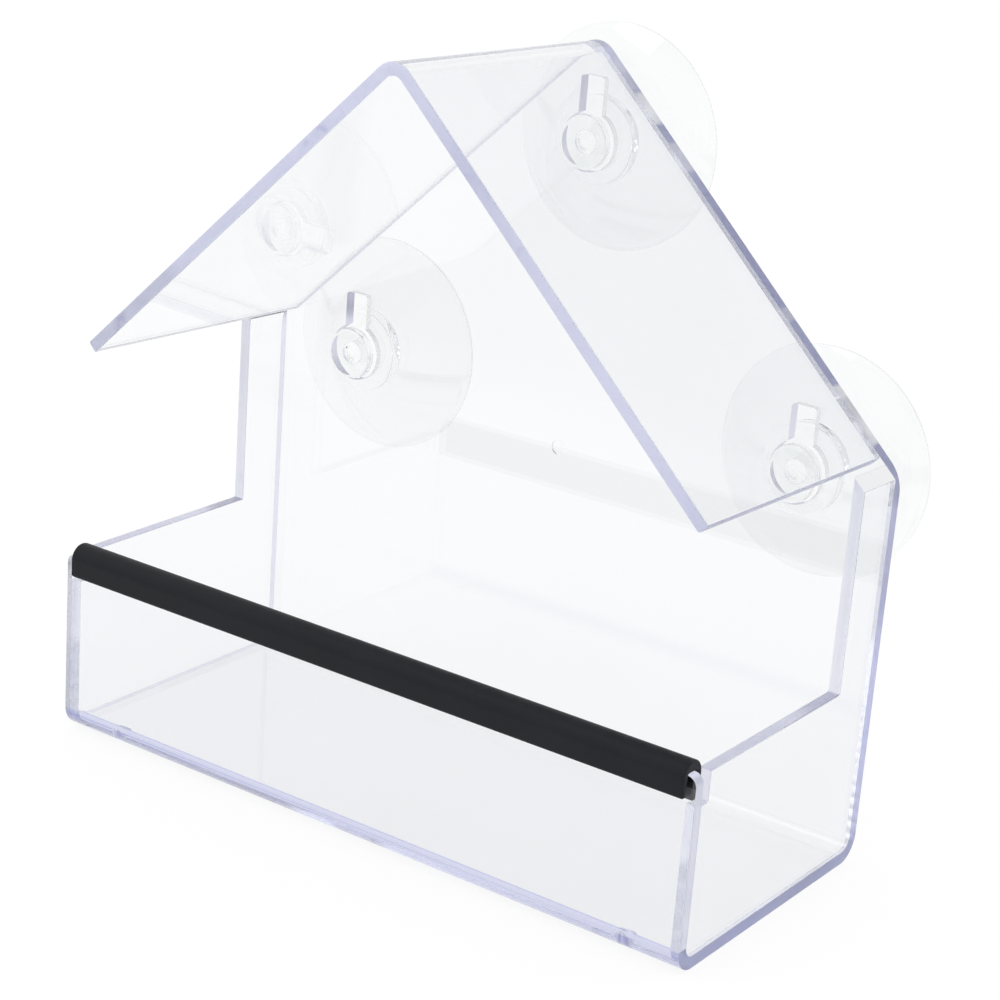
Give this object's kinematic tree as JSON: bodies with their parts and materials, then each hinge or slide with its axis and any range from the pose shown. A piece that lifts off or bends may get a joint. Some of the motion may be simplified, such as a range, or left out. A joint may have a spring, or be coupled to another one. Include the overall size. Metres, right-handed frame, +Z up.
{
  "type": "window bird feeder",
  "caption": "Clear house-shaped bird feeder with an open seed tray, pitched roof and black perch strip, hung on a window by suction cups in keyholes.",
  "frame": {"origin": "centre of the floor's underside, the flat face that the feeder stands on", "axes": "+Z up; +Y towards the window, along the suction cups' axes; -Y is the open front; +X to the right seen from the front"},
  "size_m": [0.153, 0.0767, 0.1508],
  "materials": {
    "clear_sheet": "clear, polished, with a faint lilac edge tint",
    "black_cover": "matte black",
    "clear_cup": "soft clear, glossy"
  },
  "bodies": {
    "house": {"body_sheet": "clear_sheet", "left_side_panel": "clear_sheet", "right_side_panel": "clear_sheet", "roof": "clear_sheet", "perch_cover": "black_cover"},
    "top_cup": {"top_suction_cup": "clear_cup"},
    "left_cup": {"left_suction_cup": "clear_cup"},
    "right_cup": {"right_suction_cup": "clear_cup"}
  },
  "joints": [
    {"name": "top_cup_slide", "type": "slide", "parent": "house", "child": "top_cup", "axis": [0, 0, 1], "range_m": [-0.0035, 0.0103]},
    {"name": "left_cup_slide", "type": "slide", "parent": "house", "child": "left_cup", "axis": [0, 0, 1], "range_m": [-0.0035, 0.0103]},
    {"name": "right_cup_slide", "type": "slide", "parent": "house", "child": "right_cup", "axis": [0, 0, 1], "range_m": [-0.0035, 0.0103]}
  ]
}
